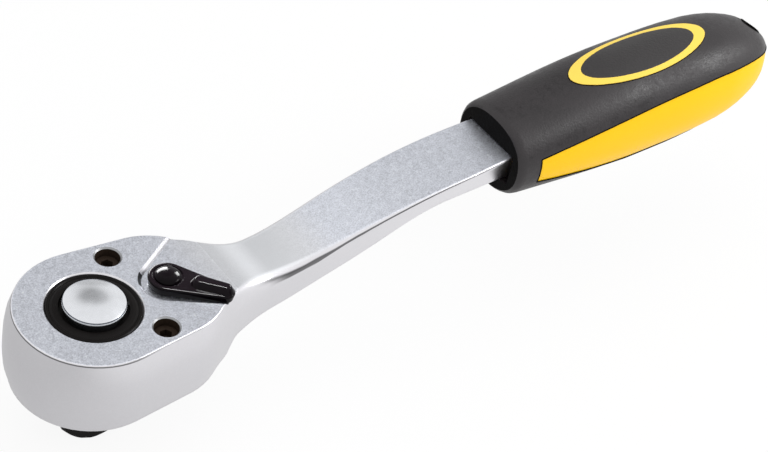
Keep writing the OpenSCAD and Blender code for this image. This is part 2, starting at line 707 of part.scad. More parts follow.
// Round-nosed plunger that leans on the back of the pawl
module selector_plunger() {
    nose = plunger_tip - plunger_r;
    color(polished) {
        along_plunger(plunger_tail) cylinder(r = plunger_r, h = nose - plunger_tail);
        along_plunger(nose) sphere(plunger_r);
    }
}

// Small spring behind the plunger
module selector_spring() {
    wire = 0.4;
    color(steel) along_plunger(plunger_bore)
        coil(plunger_r - wire / 2 - seat_gap, wire, wire / 2 + seat_gap,
            plunger_tail - plunger_bore - wire / 2 - seat_gap, 3);
}

// Rubber seal round the selector shaft
module lever_o_ring() {
    color(soft_black) translate([selector_x, 0, o_ring_z]) rotate_extrude()
        translate([o_ring_major_r, 0]) circle(o_ring_r, $fn = 32);
}

// Open clip that keeps the selector shaft from lifting out
module selector_clip() {
    mouth = 1.6 * clip_seat_r;
    color(steel) translate([selector_x, 0, clip_z]) difference() {
        cylinder(r = clip_r, h = clip_t);
        translate([0, 0, -past]) cylinder(r = clip_seat_r + seat_gap, h = clip_t + 2 * past);
        translate([0, -mouth / 2, -past]) cube([2 * clip_r, mouth, clip_t + 2 * past]);
    }
}

// Skin down through drop outlines, from a list of [inset, height]
module drop_skin(x0, r0, x1, r1, levels) {
    loft([for (v = levels) [for (p = drop(x0, r0 - v[0], x1, r1 - v[0], 20)) [p[0], p[1], v[1]]]]);
}

// Thumb lever on top of the selector shaft: a drop-shaped plate with a finger ridge
module reversing_lever() {
    ridge_x = lever_hub_r + 3.2;
    ridge_r = 2.5;
    ridge_tip_r = lever_tip_r - 0.2;
    flank = 1.5;
    color(gloss_black) translate([selector_x, 0, lever_z]) rotate([0, 0, lever_angle]) difference() {
        union() {
            drop_skin(0, lever_hub_r, lever_tip_x, lever_tip_r, concat(
                [for (a = [0, 30, 60, 90])
                    [lever_round * (1 - sin(a)), lever_t - lever_round * (1 - cos(a))]],
                [[lever_draft, 0]]));
            drop_skin(ridge_x, ridge_r, lever_tip_x, ridge_tip_r,
                [for (v = [[1, 1], [0.7, 0.86], [0.25, 0.25], [0, -0.25]])
                    [flank * v[0], lever_t + ridge_h * v[1]]]);
        }
        translate([0, 0, -past]) cylinder(r = selector_waist_r + seat_gap, h = lever_t + 2 * past);
        translate([0, 0, lever_t - cap_seat]) cylinder(r = dome_cap_r + 2 * free_gap, h = lever_t);
    }
}

// Half of the grip's width or height at station x, rounded in at both ends
function grip_half(x, full, front) = curve([[grip_x, full - front - lip, 1.4],
    [grip_x + 2.5, full - front, 0.07], [grip_x + 45, full, 0],
    [reach - 26, full - 0.6, -0.07], [reach - 11, full - 3.7, -0.36],
    [reach - 4, full - 7.8, -0.95], [reach, full - 12, -1.6]], x);
function axis_z(x) = grip_z + grip_lift * (x - grip_x) / grip_len;
grip_sides = 44;
squareness = 2.3;
function power(v) = sign(v) * pow(abs(v), 2 / squareness);
function oval(x, w, h, z) = [for (k = [0 : grip_sides - 1]) let (a = -360 * (k + 0.5) / grip_sides)
    [x, w * power(cos(a)), z + h * power(sin(a))]];
function grip_ring(x, inset) = oval(x, grip_half(x, grip_w, collar_slim) - inset,
    grip_half(x, grip_h, collar_low) - inset, axis_z(x));
grip_stations = concat([for (a = [0, 0.6, 1.4]) grip_x + a],
    [for (x = [grip_x + 2.5 : 5.5 : reach - 27]) x],
    [for (b = [24, 20, 16, 13, 10.5, 8, 6, 4, 2.5, 1.2, 0.4, 0]) reach - b]);

// Outer form of the grip or of a stretch of it, a given distance inside its surface
module grip_form(inset = 0, x0 = grip_x, x1 = reach) {
    loft([for (x = grip_stations) if (x >= x0 && x <= x1) grip_ring(x, inset)]);
}

// Stretch of the grip's form that holds the badge, raised a little
module badge_form() {
    grip_form(-badge_proud, badge_x - badge_len - 6, badge_x + badge_len + 6);
}

// Nose of the core, which reaches forward inside the cover to the end of the shank
module core_nose() {
    translate([core_x, -nose_w, grip_z - panel_h0])
        cube([panel_x - core_x + past, 2 * nose_w, 2 * panel_h0]);
}

// Slab whose ends show as the side panels and round the butt
module panel_slab() {
    steps = 14;
    wide_x = panel_x + panel_run;
    function edge(h) = concat([for (i = [0 : steps]) let (t = i / steps)
            [panel_x + panel_run * t, panel_h0 + (h - panel_h0) * sin(90 * t)]],
        [for (i = [1 : steps]) let (x = wide_x + (reach + past - wide_x) * i / steps)
            [x, h * grip_half(x, grip_h, 0) / grip_half(wide_x, grip_h, 0)]]);
    low = edge(panel_low);
    rotate([90, 0, 0]) linear_extrude(4 * grip_w, center = true) polygon(concat(
        [for (v = edge(panel_h1)) [v[0], axis_z(v[0]) + v[1]]],
        [for (i = [len(low) - 1 : -1 : 0]) [low[i][0], axis_z(low[i][0]) - low[i][1]]]));
}

// Opening in the front of the grip for the shank
module mouth() {
    translate([grip_x - past, -mouth_w - mouth_gap, shank_under - mouth_gap])
        cube([core_x - grip_x + 2 * past, 2 * (mouth_w + mouth_gap), shank_t + 2 * mouth_gap]);
}

// Oval column through the badge's place, a given distance in from its outline
module badge_column(inset_x = 0, inset_y = 0) {
    translate([badge_x, 0, badge_floor]) linear_extrude(grip_h)
        polygon([for (k = [0 : 47]) let (a = 360 * k / 48)
            [(badge_len - inset_x) * cos(a), (badge_w - inset_y) * sin(a)]]);
}

// Column through the hang hole's place
module hang_column(r) {
    translate([hang_at, 0, grip_z - 2 * grip_h]) cylinder(r = r, h = 4 * grip_h);
}

// Hard core over the tang, bare at the sides and round the butt
module grip_core() {
    color(yellow) difference() {
        union() {
            core_nose();
            intersection() {
                grip_form(panel_sink);
                panel_slab();
            }
        }
        translate([grip_x, -tang_w - seat_gap, tang_z - tang_t / 2 - seat_gap])
            cube([tang_len + seat_gap, 2 * (tang_w + seat_gap), tang_t + 2 * seat_gap]);
        hang_column(hang_r + hang_sleeve);
    }
}

// Soft cover over the top, the underside and the front of the core, with a sleeve in the hang hole
module grip_cover() {
    color(soft_black) difference() {
        union() {
            difference() {
                grip_form();
                core_nose();
                panel_slab();
                mouth();
                badge_column();
            }
            intersection() {
                grip_form(0, hang_at - 3 * hang_r);
                hang_column(hang_r + hang_sleeve);
            }
        }
        hang_column(hang_r);
    }
}

// Oval ring let into the top of the cover
module badge_ring() {
    color(yellow) intersection() {
        badge_form();
        difference() {
            badge_column();
            translate([0, 0, -past]) badge_column(badge_tip, badge_band);
        }
    }
}

// Plain oval plate inside the ring
module badge_insert() {
    color(soft_black) intersection() {
        badge_form();
        badge_column(badge_tip, badge_band);
    }
}

ratchet_body();
cover_plate();
cover_screws();
drive_anvil();
thrust_washer();
release_button();
button_snap_ring();
release_stem();
button_spring();
socket_ball();
pawl();
pawl_pin();
selector_shaft();
selector_plunger();
selector_spring();
lever_o_ring();
selector_clip();
reversing_lever();
grip_core();
grip_cover();
badge_ring();
badge_insert();
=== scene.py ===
import math

import bpy
from mathutils import Matrix, Vector


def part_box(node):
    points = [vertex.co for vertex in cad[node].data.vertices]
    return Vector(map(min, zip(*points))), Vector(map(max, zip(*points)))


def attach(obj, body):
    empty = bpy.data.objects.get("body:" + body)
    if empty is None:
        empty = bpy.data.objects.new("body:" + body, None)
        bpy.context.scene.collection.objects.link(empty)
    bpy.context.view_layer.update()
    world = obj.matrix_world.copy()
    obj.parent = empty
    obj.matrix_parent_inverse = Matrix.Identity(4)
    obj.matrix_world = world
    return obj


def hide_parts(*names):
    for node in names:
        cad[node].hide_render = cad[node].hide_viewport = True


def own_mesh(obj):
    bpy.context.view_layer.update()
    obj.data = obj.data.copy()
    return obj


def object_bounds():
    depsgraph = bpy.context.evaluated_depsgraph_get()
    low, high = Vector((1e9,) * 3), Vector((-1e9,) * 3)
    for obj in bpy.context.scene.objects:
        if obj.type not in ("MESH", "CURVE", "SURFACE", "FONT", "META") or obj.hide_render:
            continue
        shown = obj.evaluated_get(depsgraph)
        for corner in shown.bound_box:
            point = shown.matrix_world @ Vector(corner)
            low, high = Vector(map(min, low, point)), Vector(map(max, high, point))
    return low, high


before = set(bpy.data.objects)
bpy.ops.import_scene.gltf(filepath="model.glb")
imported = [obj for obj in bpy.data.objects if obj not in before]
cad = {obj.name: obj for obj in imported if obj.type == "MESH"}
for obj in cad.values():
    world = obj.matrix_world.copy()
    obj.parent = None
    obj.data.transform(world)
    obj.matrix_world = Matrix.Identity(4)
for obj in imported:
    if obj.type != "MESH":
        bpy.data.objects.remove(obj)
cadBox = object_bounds()
print("frame loaded:", len(cad), "nodes")


# small helpers

def deselectAll():
    if bpy.context.object and bpy.context.object.mode != "OBJECT":
        bpy.ops.object.mode_set(mode="OBJECT")
    bpy.ops.object.select_all(action="DESELECT")


def makeActive(obj):
    deselectAll()
    obj.select_set(True)
    bpy.context.view_layer.objects.active = obj


def applyModifiers(obj):
    makeActive(obj)
    for modifier in list(obj.modifiers):
        bpy.ops.object.modifier_apply(modifier=modifier.name)


def smoothByAngle(obj, degrees):
    makeActive(obj)
    bpy.ops.object.shade_smooth_by_angle(angle=math.radians(degrees))


cleaning = {"mergeWithin": 0.000002, "flatWithin": 0.4}


def cleanCopy(nodeName, pieceName):
    # own copy of a solid, with its loose triangles merged, which then stands for it
    piece = cad[nodeName].copy()
    piece.data = cad[nodeName].data.copy()
    piece.name = pieceName
    piece.data.name = pieceName
    piece.parent = None
    piece.matrix_world = Matrix.Identity(4)
    for key in [k for k in piece.keys() if k.startswith("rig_")]:
        del piece[key]
    bpy.context.scene.collection.objects.link(piece)
    makeActive(piece)
    if piece.data.has_custom_normals:
        bpy.ops.mesh.customdata_custom_splitnormals_clear()
    bpy.ops.object.mode_set(mode="EDIT")
    bpy.ops.mesh.select_all(action="SELECT")
    bpy.ops.mesh.remove_doubles(threshold=cleaning["mergeWithin"])
    bpy.ops.mesh.dissolve_limited(angle_limit=math.radians(cleaning["flatWithin"]))
    bpy.ops.object.mode_set(mode="OBJECT")
    return piece


def dress(piece, *materials):
    piece.data.materials.clear()
    for material in materials:
        piece.data.materials.append(material)


def softenEdges(piece, smoothAngle, width=0, edgeAngle=0, segments=2, edgeMaterial=-1):
    # small rounding along the sharp edges, in a material of its own if asked, then normals that
    # keep broad faces even
    if width:
        bevel = piece.modifiers.new("edgeRounding", "BEVEL")
        bevel.width = width
        bevel.segments = segments
        bevel.limit_method = "ANGLE"
        bevel.angle_limit = math.radians(edgeAngle)
        bevel.use_clamp_overlap = True
        bevel.material = edgeMaterial
    applyModifiers(piece)
    smoothByAngle(piece, smoothAngle)
    even = piece.modifiers.new("evenNormals", "WEIGHTED_NORMAL")
    even.keep_sharp = True
    applyModifiers(piece)


def finishPiece(piece, body, slotName, *replaced):
    if replaced:
        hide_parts(*replaced)
    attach(piece, body)


# shader nodes

def addNode(tree, kind, **settings):
    node = tree.nodes.new(kind)
    for key, value in settings.items():
        setattr(node, key, value)
    return node


def setInput(tree, socket, value):
    if hasattr(value, "is_output"):
        tree.links.new(value, socket)
    else:
        socket.default_value = value


def addMath(tree, operation, *values):
    node = addNode(tree, "ShaderNodeMath", operation=operation)
    for socket, value in zip(node.inputs, values):
        setInput(tree, socket, value)
    return node.outputs[0]


def addRamp(tree, value, low, high):
    # soft step from 0 at low to 1 at high
    node = addNode(tree, "ShaderNodeMapRange", interpolation_type="SMOOTHSTEP")
    setInput(tree, node.inputs["Value"], value)
    node.inputs["From Min"].default_value = low
    node.inputs["From Max"].default_value = high
    return node.outputs["Result"]


def addBand(tree, value, rise, fall):
    # soft step up over rise, and down again over fall
    return addMath(tree, "SUBTRACT", addRamp(tree, value, *rise), addRamp(tree, value, *fall))


def addNoise(tree, scale, detail, roughness=0.55):
    place = addNode(tree, "ShaderNodeTexCoord")
    noise = addNode(tree, "ShaderNodeTexNoise")
    noise.inputs["Detail"].default_value = detail
    noise.inputs["Roughness"].default_value = roughness
    tree.links.new(place.outputs["Object"], noise.inputs["Vector"])
    setInput(tree, noise.inputs["Scale"], scale)
    return noise.outputs["Fac"]


def axesOf(tree, kind):
    # X, Y and Z of the piece's own Object place or of its Normal
    place = addNode(tree, "ShaderNodeTexCoord")
    split = addNode(tree, "ShaderNodeSeparateXYZ")
    tree.links.new(place.outputs[kind], split.inputs["Vector"])
    return split.outputs


def rayKinds(tree):
    # 1 for rays from the camera, and 1 for rays that surfaces mirror
    light = addNode(tree, "ShaderNodeLightPath")
    mirroring = addMath(tree, "MAXIMUM", light.outputs["Is Glossy Ray"],
                        light.outputs["Is Transmission Ray"])
    return light.outputs["Is Camera Ray"], mirroring


# shader effects used by several materials

def newGroup(name, inputs, outputs):
    group = bpy.data.node_groups.new(name, "ShaderNodeTree")
    for label, value in inputs:
        socket = group.interface.new_socket(label, in_out="INPUT", socket_type="NodeSocketFloat")
        socket.default_value = value
    for label in outputs:
        group.interface.new_socket(label, in_out="OUTPUT", socket_type="NodeSocketFloat")
    start = group.nodes.new("NodeGroupInput")
    end = group.nodes.new("NodeGroupOutput")
    return group, start, end


def buildGrain():
    # fine pits and grains of two sizes: Height for a bump, Tone round 0
    coarseScale = 0.28
    group, start, end = newGroup("fineGrain", [("Scale", 3000), ("Coarse", 0.5)], ["Height", "Tone"])
    fine = addNoise(group, start.outputs["Scale"], 2)
    wide = addNoise(group, addMath(group, "MULTIPLY", start.outputs["Scale"], coarseScale), 2)
    height = addMath(group, "MULTIPLY_ADD", wide, start.outputs["Coarse"], fine)
    group.links.new(height, end.inputs["Height"])
    middle = addMath(group, "MULTIPLY_ADD", start.outputs["Coarse"], 0.5, 0.5)
    group.links.new(addMath(group, "SUBTRACT", height, middle), end.inputs["Tone"])
    return group


def buildSmudge():
    # broad soft patches, as handling leaves them: Patch round 0
    group, start, end = newGroup("handlingSmudge", [("Scale", 60), ("Amount", 0.1)], ["Patch"])
    cloud = addNoise(group, start.outputs["Scale"], 4, 0.6)
    centred = addMath(group, "SUBTRACT", cloud, 0.5)
    group.links.new(addMath(group, "MULTIPLY", centred, start.outputs["Amount"]), end.inputs["Patch"])
    return group


fineGrain = buildGrain()
handlingSmudge = buildSmudge()


def useGroup(tree, group, **values):
    node = addNode(tree, "ShaderNodeGroup", node_tree=group)
    for label, value in values.items():
        node.inputs[label.capitalize()].default_value = value
    return node


def paintedDarkLine(tree, line):
    # painted dark reflection and shade line: 1, and darker between two heights, as far along the handle as
    # headEnd where that is given; with facing also on the rounded edges between top and sides, along a
    # stretch of the shank
    point = axesOf(tree, "Object")
    weight = addBand(tree, point["Z"], *line["height"])
    if "headEnd" in line:
        onHead = addMath(tree, "SUBTRACT", 1, addRamp(tree, point["X"], *line["headEnd"]))
        weight = addMath(tree, "MULTIPLY", weight, onHead)
    if "facing" in line:
        onEdge = addBand(tree, axesOf(tree, "Normal")["Z"], *line["facing"])
        onShank = addBand(tree, point["X"], *line["shank"])
        weight = addMath(tree, "MULTIPLY_ADD", onEdge, onShank, weight)
    return addMath(tree, "MULTIPLY_ADD", weight, -line["depth"], 1)


plainLook = {"metallic": 0, "ior": 1.5, "coarse": 0.5, "depth": 0.00003, "roughVary": 0.4}


def surface(name, look, upper=None, line=None):
    # one Principled shader with grain in its bump, colour and roughness; upper is the look of the faces
    # that point upwards, matt or rubbed smooth, where it differs, with painted shade on top of the neck,
    # and line is a painted dark line of shade and dark reflection
    look = {**plainLook, **look}
    material = bpy.data.materials.new(name)
    material.use_nodes = True
    tree = material.node_tree
    shader = tree.nodes["Principled BSDF"]
    shader.inputs["Metallic"].default_value = look["metallic"]
    shader.inputs["IOR"].default_value = look["ior"]
    if upper:
        share = addRamp(tree, axesOf(tree, "Normal")["Z"], *upper["facing"])
        alongHandle = axesOf(tree, "Object")["X"]
        rubbed = addMath(tree, "MULTIPLY", share, addBand(tree, alongHandle, *upper["rubbed"]))
        matt = addMath(tree, "SUBTRACT", share, rubbed)

    def blended(key):
        if not upper or upper[key] == look[key]:
            return look[key]
        part = share if key == "roughness" else matt
        return addMath(tree, "MULTIPLY_ADD", part, upper[key] - look[key], look[key])

    grain = useGroup(tree, fineGrain, scale=look["grain"], coarse=look["coarse"])
    smudge = useGroup(tree, handlingSmudge, scale=look["patch"], amount=look["smudge"])
    tone = addMath(tree, "MULTIPLY_ADD", grain.outputs["Tone"], blended("speckle"), smudge.outputs["Patch"])
    lift = addMath(tree, "ADD", tone, 1)
    ground = (*look["colour"], 1)
    if upper:
        # painted shade: the top of the neck is darker just behind the recess, fading out along the neck
        onNeck = addMath(tree, "MULTIPLY", share, addBand(tree, alongHandle, *upper["neck"]))
        neckShade = addMath(tree, "MULTIPLY_ADD", onNeck, -upper["neckShadeDepth"], 1)
        lift = addMath(tree, "MULTIPLY", lift, neckShade)
        for part, tint in ((matt, upper["colour"]), (rubbed, upper["rubbedColour"])):
            layer = addNode(tree, "ShaderNodeMix", data_type="RGBA")
            tree.links.new(part, layer.inputs["Factor"])
            setInput(tree, layer.inputs["A"], ground)
            layer.inputs["B"].default_value = (*tint, 1)
            ground = layer.outputs["Result"]
    # painted dark line of shade and dark reflection
    if line:
        lift = addMath(tree, "MULTIPLY", lift, paintedDarkLine(tree, line))
    colour = addNode(tree, "ShaderNodeMix", data_type="RGBA", blend_type="MULTIPLY")
    colour.inputs["Factor"].default_value = 1
    setInput(tree, colour.inputs["A"], ground)
    tree.links.new(lift, colour.inputs["B"])
    tree.links.new(colour.outputs["Result"], shader.inputs["Base Color"])
    rough = addMath(tree, "MULTIPLY_ADD", tone, look["roughVary"], blended("roughness"))
    tree.links.new(rough, shader.inputs["Roughness"])
    bump = addNode(tree, "ShaderNodeBump")
    bump.inputs["Strength"].default_value = 1
    bump.inputs["Distance"].default_value = look["depth"]
    relief = addMath(tree, "MULTIPLY", grain.outputs["Height"], blended("bump"))
    tree.links.new(relief, bump.inputs["Height"])
    tree.links.new(bump.outputs["Normal"], shader.inputs["Normal"])
    return material


steelLook = {"colour": (0.765, 0.757, 0.785), "metallic": 1, "roughness": 0.30, "grain": 2600,
             "coarse": 0.35, "speckle": 0.08, "bump": 0.10, "smudge": 0.05, "patch": 45}
# on the blasted tops, the neck band and its depth give painted shade on top of the neck, just behind the
# recess
blastedLook = {"facing": (0.80, 0.97), "rubbed": ((0.024, 0.046), (0.054, 0.072)),
               "neck": ((0.0368, 0.0371), (0.0385, 0.0465)), "neckShadeDepth": 0.26,
               "colour": (0.79, 0.815, 0.885), "rubbedColour": (0.90, 0.915, 0.945),
               "roughness": 0.42, "speckle": 0.80, "bump": 1.0}
# painted dark reflection: a dark line under the top edge of the head's front and along the rounded edges of
# the shank
paintedEdgeReflection = {"height": ((0.02375, 0.02395), (0.02415, 0.02430)), "headEnd": (-0.004, 0.010),
              "facing": ((0.08, 0.22), (0.50, 0.66)), "shank": ((0.047, 0.055), (0.100, 0.140)),
              "depth": 0.76}
# painted shade on the lower part of the recess wall, which narrows its light reflection line
paintedWallShade = {"height": ((0.0229, 0.0231), (0.0236, 0.0239)), "depth": 0.45}
# painted shadow at one end of the lever's recess
shadeLook = dict(steelLook, colour=(0.028, 0.028, 0.030), roughness=0.40)
# painted shade on the edges of the screw holes
holeEdgeShadeLook = dict(steelLook, colour=(0.36, 0.365, 0.375), roughness=0.45)
wireLook = dict(steelLook, colour=(0.55, 0.56, 0.58))
polishedLook = {"colour": (0.745, 0.76, 0.79), "metallic": 1, "roughness": 0.27, "grain": 2000,
                "speckle": 0.04, "bump": 0.02, "smudge": 0.22, "patch": 300}
# painted dark reflection round the button's dome
paintedDarkRimLook = dict(polishedLook, colour=(0.10, 0.11, 0.13))
# painted highlight line on the button's side, with painted dark reflection below it
paintedSideLightLook = dict(polishedLook, metallic=0, colour=(0.75, 0.78, 0.82), roughness=0.5)
paintedSideReflection = {"height": ((0.0200, 0.0201), (0.0257, 0.0260)), "depth": 0.985}
oxideLook = {"colour": (0.006, 0.0050, 0.0048), "ior": 1.21, "roughness": 0.34, "grain": 2500,
             "speckle": 0.5, "bump": 0.12, "smudge": 0.4, "patch": 120}
# painted shade in the body's screw holes; the same dark is the cover screws' own colour
screwAndHoleShadeLook = dict(oxideLook, colour=(0.030, 0.020, 0.014), roughness=0.5)
leverLook = {"colour": (0.0032, 0.0022, 0.0030), "ior": 1.16, "roughness": 0.12, "grain": 900,
             "speckle": 0.2, "bump": 0.05, "smudge": 0.3, "patch": 200}
rubberLook = {"colour": (0.0180, 0.0146, 0.0162), "roughness": 0.46, "grain": 1700, "coarse": 0.6,
              "speckle": 0.9, "bump": 1.3, "depth": 0.00005, "smudge": 1.0, "patch": 75}
insertLook = dict(rubberLook, roughness=0.42, smudge=0.25, speckle=0.4, colour=(0.022, 0.0195, 0.020))
# painted shade in the joint between the soft cover and the yellow parts
seamShadeLook = dict(rubberLook, ior=1.1, speckle=0.2, smudge=0.1, colour=(0.002, 0.0018, 0.0018))
# painted shade on the grip's front face and along the cover's edge rounding
frontAndEdgeShadeLook = dict(rubberLook, ior=1.1, colour=(0.003, 0.0027, 0.0027))
sealLook = dict(rubberLook, colour=(0.012, 0.012, 0.012))
yellowLook = {"colour": (0.98, 0.575, 0.004), "ior": 1.25, "roughness": 0.38, "grain": 1800,
              "speckle": 0.05, "bump": 0.12, "smudge": 0.06, "patch": 40}
badgeLook = dict(yellowLook, colour=(0.93, 0.67, 0.11))

satinSteel = surface("satinSteel", steelLook)
forgedSteel = surface("forgedSteel", steelLook, blastedLook, paintedEdgeReflection)
recessWall = surface("recessWall", steelLook, None, paintedWallShade)
recessShade = surface("recessShade", shadeLook)
polishedSteel = surface("polishedSteel", polishedLook)
buttonPaintedRim = surface("buttonPaintedRim", paintedDarkRimLook)
buttonSide = surface("buttonSide", paintedSideLightLook, None, paintedSideReflection)
blackOxide = surface("blackOxide", oxideLook)
screwDarkAndHoleShade = surface("screwDarkAndHoleShade", screwAndHoleShadeLook)
leverBlack = surface("leverBlack", leverLook)
softRubber = surface("softRubber", rubberLook)
frontAndEdgeShadeRubber = surface("frontAndEdgeShadeRubber", frontAndEdgeShadeLook)
holeEdgeShade = surface("holeEdgeShade", holeEdgeShadeLook)
seamShadeBlack = surface("seamShadeBlack", seamShadeLook)
panelYellow = surface("panelYellow", yellowLook)
badgeYellow = surface("badgeYellow", badgeLook)
insertBlack = surface("insertBlack", insertLook)
springWire = surface("springWire", wireLook)
sealRubber = surface("sealRubber", sealLook)
print("materials made")


# pieces

bodyEdges = {"smoothAngle": 40}
bodyFinishAndShade = {"forged": forgedSteel, "hole": screwDarkAndHoleShade, "holeEdgeShade": holeEdgeShade, "wall": recessWall,
              "shade": recessShade}
screwHole = {"x": 0.0125, "y": 0.0143, "radius": 0.0036, "floor": 0.018, "edge": 0.0006,
             "wallFacing": 0.3, "edgeFacing": 0.9}
recess = {"floor": 0.0231, "facing": (0.62, 0.66), "start": 0.012, "end": 0.040, "shaded": (-50, -15)}


def finishAndShadeOf(face):
    # the screw holes and their edges get painted shade, the leaning wall of the lever's recess painted
    # shade on its lower part, and one end of that wall painted shadow; the rest is forged steel
    middle, way = face.center, face.normal
    if middle.z > screwHole["floor"]:
        off = math.hypot(middle.x - screwHole["x"], abs(middle.y) - screwHole["y"]) - screwHole["radius"]
        if off < 0 and abs(way.z) < screwHole["wallFacing"]:
            return "hole"
        if off < screwHole["edge"] and way.z < screwHole["edgeFacing"]:
            return "holeEdgeShade"
    inRecess = middle.z > recess["floor"] and recess["start"] < middle.x < recess["end"]
    low, high = recess["facing"]
    if inRecess and low < way.z < high and way.y * middle.y < 0:
        first, last = recess["shaded"]
        return "shade" if first < math.degrees(math.atan2(way.y, way.x)) < last else "wall"
    return "forged"


forging = cleanCopy("ratchet_body", "wrenchBody")
dress(forging, *bodyFinishAndShade.values())
softenEdges(forging, **bodyEdges)
finishPiece(forging, "handle", "forged_steel", "ratchet_body")
finishAndShadeNames = list(bodyFinishAndShade)
for face in forging.data.polygons:
    face.material_index = finishAndShadeNames.index(finishAndShadeOf(face))

leverEdges = {"width": 0.00012, "edgeAngle": 50, "smoothAngle": 40}
lever = cleanCopy("reversing_lever", "thumbLever")
dress(lever, leverBlack)
softenEdges(lever, **leverEdges)
finishPiece(lever, "lever", "lever_black", "reversing_lever")

pivotEdges = {"width": 0.00010, "edgeAngle": 60, "smoothAngle": 50}
pivot = cleanCopy("selector_shaft", "leverPivot")
dress(pivot, leverBlack)
softenEdges(pivot, **pivotEdges)
finishPiece(pivot, "lever", "lever_black", "selector_shaft")

# the button's dome has a painted dark reflection line round it, in the bevel's material, and its side has a
# painted light reflection line at the top over painted dark below
buttonEdges = {"width": 0.00018, "edgeAngle": 40, "smoothAngle": 35, "segments": 3, "edgeMaterial": 1}
buttonSides = {"facing": 0.15, "material": 2}
button = cleanCopy("release_button", "pushButton")
dress(button, polishedSteel, buttonPaintedRim, buttonSide)
softenEdges(button, **buttonEdges)
finishPiece(button, "button", "polished_steel", "release_button")
for face in button.data.polygons:
    if abs(face.normal.z) < buttonSides["facing"]:
        face.material_index = buttonSides["material"]

# the cover's edge rounding takes the second material, painted shade like the front face
coverEdges = {"width": 0.00030, "edgeAngle": 50, "smoothAngle": 40, "edgeMaterial": 1}
gripFront = {"depth": 0.012, "facing": -0.93, "material": 1}
seam = cleanCopy("grip_cover", "gripSeam")
cover = cleanCopy("grip_cover", "gripCover")
dress(cover, softRubber, frontAndEdgeShadeRubber)
softenEdges(cover, **coverEdges)
finishPiece(cover, "handle", "soft_black", "grip_cover")
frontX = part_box("grip_cover")[0][0]
for face in cover.data.polygons:
    if face.normal.x < gripFront["facing"] and face.center.x < frontX + gripFront["depth"]:
        face.material_index = gripFront["material"]

# dark seam line where the soft cover meets the yellow panels and the badge: a real joint, its black painted
# shade in the crevice
seamLine = {"angle": 50, "radius": 0.00018, "clearOfFront": 0.004, "smoothAngle": 60}
makeActive(seam)
bpy.ops.object.mode_set(mode="EDIT")
bpy.ops.mesh.select_mode(type="EDGE")
bpy.ops.mesh.select_all(action="DESELECT")
bpy.ops.mesh.edges_select_sharp(sharpness=math.radians(seamLine["angle"]))
bpy.ops.mesh.select_all(action="INVERT")
bpy.ops.mesh.delete(type="EDGE_FACE")
bpy.ops.mesh.select_mode(type="VERT")
bpy.ops.mesh.select_all(action="DESELECT")
bpy.ops.object.mode_set(mode="OBJECT")
for vertex in seam.data.vertices:
    vertex.select = vertex.co.x < frontX + seamLine["clearOfFront"]
bpy.ops.object.mode_set(mode="EDIT")
bpy.ops.mesh.delete(type="VERT")
bpy.ops.object.mode_set(mode="OBJECT")
bpy.ops.object.convert(target="CURVE")
seam = bpy.context.object
seam.data.bevel_depth = seamLine["radius"]
seam.data.bevel_resolution = 1
seam.data.use_fill_caps = True
bpy.ops.object.convert(target="MESH")
seam = bpy.context.object
for vertex in seam.data.vertices:
    vertex.co.x = min(vertex.co.x, cadBox[1][0])
dress(seam, seamShadeBlack)
smoothByAngle(seam, seamLine["smoothAngle"])
finishPiece(seam, "handle", "soft_black")
print("seam:", len(seam.data.vertices), "points")

coreEdges = {"width": 0.00020, "edgeAngle": 50, "smoothAngle": 40}
core = cleanCopy("grip_core", "gripCore")
dress(core, panelYellow)
softenEdges(core, **coreEdges)
finishPiece(core, "handle", "yellow_plastic", "grip_core")

ringEdges = {"width": 0.00030, "edgeAngle": 40, "smoothAngle": 35}
ring = cleanCopy("badge_ring", "badgeRing")
dress(ring, badgeYellow)
softenEdges(ring, **ringEdges)
finishPiece(ring, "handle", "yellow_plastic", "badge_ring")

insertEdges = {"width": 0.00025, "edgeAngle": 40, "smoothAngle": 35}
insert = cleanCopy("badge_insert", "badgeInsert")
dress(insert, insertBlack)
softenEdges(insert, **insertEdges)
finishPiece(insert, "handle", "badge_black", "badge_insert")

# springs: merged copies on the bodies they ride with, each with a mesh of its own
coilEdges = {"smoothAngle": 40}
springs = {
    "button_spring": {"piece": "buttonCoil", "joint": "button_press", "body": "drive"},
    "selector_spring": {"piece": "plungerCoil", "joint": "plunger_slide", "body": "lever"},
}
for nodeName, spring in springs.items():
    coil = cleanCopy(nodeName, spring["piece"])
    dress(coil, springWire)
    softenEdges(coil, **coilEdges)
    finishPiece(coil, spring["body"], "spring_steel", nodeName)
    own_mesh(coil)

bare = {
    "cover_plate": satinSteel, "cover_screws": screwDarkAndHoleShade, "drive_anvil": blackOxide,
    "thrust_washer": springWire, "button_snap_ring": blackOxide, "release_stem": polishedSteel,
    "socket_ball": polishedSteel, "pawl": blackOxide, "pawl_pin": polishedSteel,
    "selector_plunger": polishedSteel, "lever_o_ring": sealRubber, "selector_clip": springWire,
}
for nodeName, material in bare.items():
    dress(cad[nodeName], material)
print("pieces dressed")


# stage: pale floor, soft lamps, white surround

